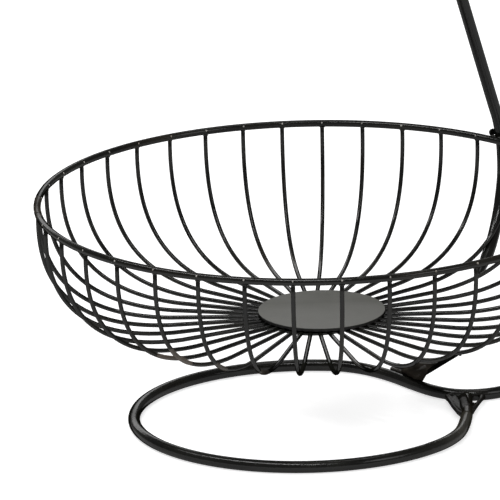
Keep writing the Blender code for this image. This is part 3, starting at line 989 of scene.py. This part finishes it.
NECK_FIRST, NECK_LAST = -7 * MM, -68 * MM
NECK_POINTS = 60
NECK_STEP = 2 * MM
NECK_PROUD, NECK_DROP = 0.06, 0.035


def add_neck_highlight():
    """A lighter brown sleeve on the base rod beside its forked weld: a painted highlight over a
    brown heat tint.
    """
    neck = [point + lift(NECK_PROUD * MM) for point in even(base_path, NECK_STEP)[:NECK_POINTS]
            if NECK_LAST < point.y < NECK_FIRST]
    radii = sunk_sleeve(ROD, len(neck), NECK_PROUD, NECK_DROP)
    add_piece("neck_highlight_sleeve", *swept(neck, radii, ROD_SIDES), neck_highlight_paint, "stand")


DIAGONAL = 0.707


def strut_spot(share, left=0.0, down=0.0):
    """A place beside the strut, at a share of its rise, this far left and down in mm."""
    aside = left * DIAGONAL
    return (strut_foot + strut_aside).lerp(strut_head, share) + in_mm(-aside, aside, -down)


def add_strut_web():
    """The strut's foot spreads over the base rod as a web of weld, in lighter brown paint that is a
    painted highlight for its lit top.
    """
    half_way = strut_foot.lerp(strut_tail, 0.5)
    weld_mass("strut_foot_weld", [
        tapered([strut_spot(0.62), strut_spot(0.5, 4), strut_spot(0.4, 9, -0.5),
                 strut_spot(0.2, 11, 1), in_mm(49, 60.5, 6.2), in_mm(42, 66, 6.6)],
                (1.6, 1.7, 1.8, 1.5, 1.6, 1.2)),
        tapered([strut_spot(0.5), strut_spot(0.4, 3), strut_spot(0.25, 6, 1),
                 in_mm(51, 57, 6.6)], (1.7, 1.4, 1.4, 1.8)),
        tapered([strut_spot(0.42), strut_spot(0.25, 3), strut_spot(0.1, 5, 1),
                 in_mm(52.5, 54, 6.8)], (1.9, 1.5, 1.6, 2.0)),
        tapered([strut_spot(0.32), strut_spot(0.16, 1), strut_spot(0.0, 2.5, 1.5)],
                (2.1, 2.4, 3.0)),
        tapered([strut_spot(0.14), strut_spot(0.0, 0, 1.5),
                 strut_foot + strut_aside * 0.5 - strut_along * 9 * MM], (2.1, 3.0, 1.6)),
        tapered([strut_foot + strut_aside * 0.75, half_way + strut_aside * 0.7,
                 strut_tail + strut_aside * 0.65], (2.3, 2.1, 1.5)),
    ], light_brown_paint, "stand")


SEAM_RADII = (2.1, 2.45, 2.2, 2.1, 2.25, 2.4, 2.1)
SEAM_ENDS = (187.6, 190)
SEAM_HEAT_ENDS = (176, 192)
SEAM_HEAT_STEPS = 16
SEAM_HEAT_PROUD = 0.05 * MM


def rim_run(first, last, count):
    """Part of the lower rim's middle between two angles in degrees."""
    return [polar(lower.rim, math.radians(first + (last - first) * step / count),
                  lower.rim_height) for step in range(count + 1)]


def add_rim_seam():
    """The rim wire's two ends meet in a thinly painted seam."""
    heat = rim_run(*SEAM_HEAT_ENDS, SEAM_HEAT_STEPS)
    add_piece("rim_seam_heat", *swept(heat, RIM + SEAM_HEAT_PROUD, RIM_SIDES), light_brown_paint, "stand")
    seam = rim_run(*SEAM_ENDS, len(SEAM_RADII) - 1)
    radii = [radius * MM for radius in SEAM_RADII]
    add_piece("rim_seam", *swept(seam, radii, RIM_SIDES), weld_black, "stand")


# Ribs of the lower bowl with a lighter stretch, a painted highlight along the lower bend, and the
# shares of the side between which it lies
HIGHLIGHT_RIBS = ((31, 0.4, 0.72), (32, 0.6, 0.88), (30, 0.52, 0.72), (29, 0.6, 0.84))
HIGHLIGHT_STEPS = 16
HIGHLIGHT_PROUD, HIGHLIGHT_DROP = 0.08, 0.05


def add_rib_highlights():
    shapes = []
    for index, first, last in HIGHLIGHT_RIBS:
        path = []
        for step in range(HIGHLIGHT_STEPS + 1):
            radius, height = lower.outline(first + (last - first) * step / HIGHLIGHT_STEPS)
            path.append(polar(radius, lower.angle(index), height))
        radii = sunk_sleeve(RIB, len(path), HIGHLIGHT_PROUD, HIGHLIGHT_DROP)
        shapes.append(swept(path, radii, THIN_SIDES))
    add_piece("rib_highlights", *joined(shapes), rib_highlight, "stand")


add_pole_welds()
add_fork()
add_neck_highlight()
add_strut_web()
add_rim_seam()
add_rib_highlights()


# Stage, light and camera

FLOOR_HALF = 9
FLOOR_GREY = 0.55
FLOOR_GLOW = 0.68
WORLD_LIGHT, WORLD_SEEN = 0.3, 1.0


def add_math(tree, operation, first, second):
    node = tree.nodes.new("ShaderNodeMath")
    node.operation = operation
    for socket, value in zip(node.inputs, (first, second)):
        if isinstance(value, float):
            socket.default_value = value
        else:
            tree.links.new(value, socket)
    return node.outputs[0]


def seen_by_camera(tree, level):
    rays = tree.nodes.new("ShaderNodeLightPath")
    seen = add_math(tree, "MAXIMUM", rays.outputs["Is Camera Ray"], rays.outputs["Is Glossy Ray"])
    seen = add_math(tree, "MAXIMUM", seen, rays.outputs["Is Transmission Ray"])
    return add_math(tree, "MULTIPLY", seen, level)


def add_floor():
    """A white floor that keeps the object's shadow."""
    corners = [(side * FLOOR_HALF, end * FLOOR_HALF, 0)
               for side, end in ((-1, -1), (1, -1), (1, 1), (-1, 1))]
    mesh = bpy.data.meshes.new("floor")
    mesh.from_pydata(corners, [], [(0, 1, 2, 3)])
    floor = bpy.data.objects.new("floor", mesh)
    bpy.context.scene.collection.objects.link(floor)
    material = bpy.data.materials.new("floor_white")
    material.use_nodes = True
    tree = material.node_tree
    tree.nodes.clear()
    output = tree.nodes.new("ShaderNodeOutputMaterial")
    add = tree.nodes.new("ShaderNodeAddShader")
    matt = tree.nodes.new("ShaderNodeBsdfDiffuse")
    matt.inputs["Color"].default_value = (FLOOR_GREY, FLOOR_GREY, FLOOR_GREY, 1)
    glow = tree.nodes.new("ShaderNodeEmission")
    tree.links.new(seen_by_camera(tree, FLOOR_GLOW), glow.inputs["Strength"])
    tree.links.new(matt.outputs[0], add.inputs[0])
    tree.links.new(glow.outputs[0], add.inputs[1])
    tree.links.new(add.outputs[0], output.inputs["Surface"])
    mesh.materials.append(material)


def add_world():
    """White to the camera, and a weaker light on the object."""
    world = bpy.data.worlds.new("studio")
    bpy.context.scene.world = world
    world.use_nodes = True
    nodes, links = world.node_tree.nodes, world.node_tree.links
    back = nodes["Background"]
    back.inputs["Color"].default_value = (1, 1, 1, 1)
    rays = nodes.new("ShaderNodeLightPath")
    level = nodes.new("ShaderNodeMapRange")
    level.inputs["To Min"].default_value = WORLD_LIGHT
    level.inputs["To Max"].default_value = WORLD_SEEN
    links.new(rays.outputs["Is Camera Ray"], level.inputs["Value"])
    links.new(level.outputs["Result"], back.inputs["Strength"])


LAMP_AIM = Vector((0, 0, 0.1))


def add_light(name, place, wide, tall, energy, along=(1, 0, 0)):
    """A soft rectangular lamp that faces the object, its wide side laid along this direction."""
    data = bpy.data.lights.new(name, "AREA")
    data.shape = "RECTANGLE"
    data.size, data.size_y = wide, tall
    data.energy = energy
    light = bpy.data.objects.new(name, data)
    bpy.context.scene.collection.objects.link(light)
    back = (Vector(place) - LAMP_AIM).normalized()
    side = (Vector(along) - back * back.dot(Vector(along))).normalized()
    turn = Matrix((side, back.cross(side), back)).transposed().to_4x4()
    light.matrix_world = Matrix.Translation(place) @ turn


CAMERA_PLACE = (0, -3.237291, 1.098512)
CAMERA_YAW, CAMERA_PITCH, CAMERA_ROLL = -0.0106742, 0.2998061, -0.0204122
FOCAL_PIXELS, PICTURE_PIXELS = 6202.554, 500
SENSOR_WIDTH = 36.0


def add_camera():
    """The photograph's camera, solved from the rim and the base ring."""
    ahead = Vector((math.sin(CAMERA_YAW) * math.cos(CAMERA_PITCH),
                    math.cos(CAMERA_YAW) * math.cos(CAMERA_PITCH), -math.sin(CAMERA_PITCH)))
    level = Vector((math.cos(CAMERA_YAW), -math.sin(CAMERA_YAW), 0))
    upright = level.cross(ahead)
    right = math.cos(CAMERA_ROLL) * level + math.sin(CAMERA_ROLL) * upright
    up = -math.sin(CAMERA_ROLL) * level + math.cos(CAMERA_ROLL) * upright
    data = bpy.data.cameras.new("camera")
    data.sensor_fit = "HORIZONTAL"
    data.sensor_width = SENSOR_WIDTH
    data.lens = FOCAL_PIXELS / PICTURE_PIXELS * SENSOR_WIDTH
    data.clip_start, data.clip_end = 0.1, 50.0
    camera = bpy.data.objects.new("camera", data)
    bpy.context.scene.collection.objects.link(camera)
    turn = Matrix((right, up, -ahead)).transposed().to_4x4()
    camera.matrix_world = Matrix.Translation(CAMERA_PLACE) @ turn
    bpy.context.scene.camera = camera


add_floor()
add_world()
add_light("key", (-0.62, -0.45, 2.0), wide=2.9, tall=0.18, energy=42.0, along=(-1.5, 1.7, -0.5))
add_light("fill", (1.6, -1.2, 1.2), wide=0.9, tall=0.9, energy=7.0)
add_light("top", (0.3, 0.7, 2.3), wide=0.8, tall=0.8, energy=6.0)
add_light("back", (-0.4, 1.7, 0.75), wide=1.8, tall=0.5, energy=14.0)
add_camera()
bpy.context.scene.view_settings.view_transform = "Standard"
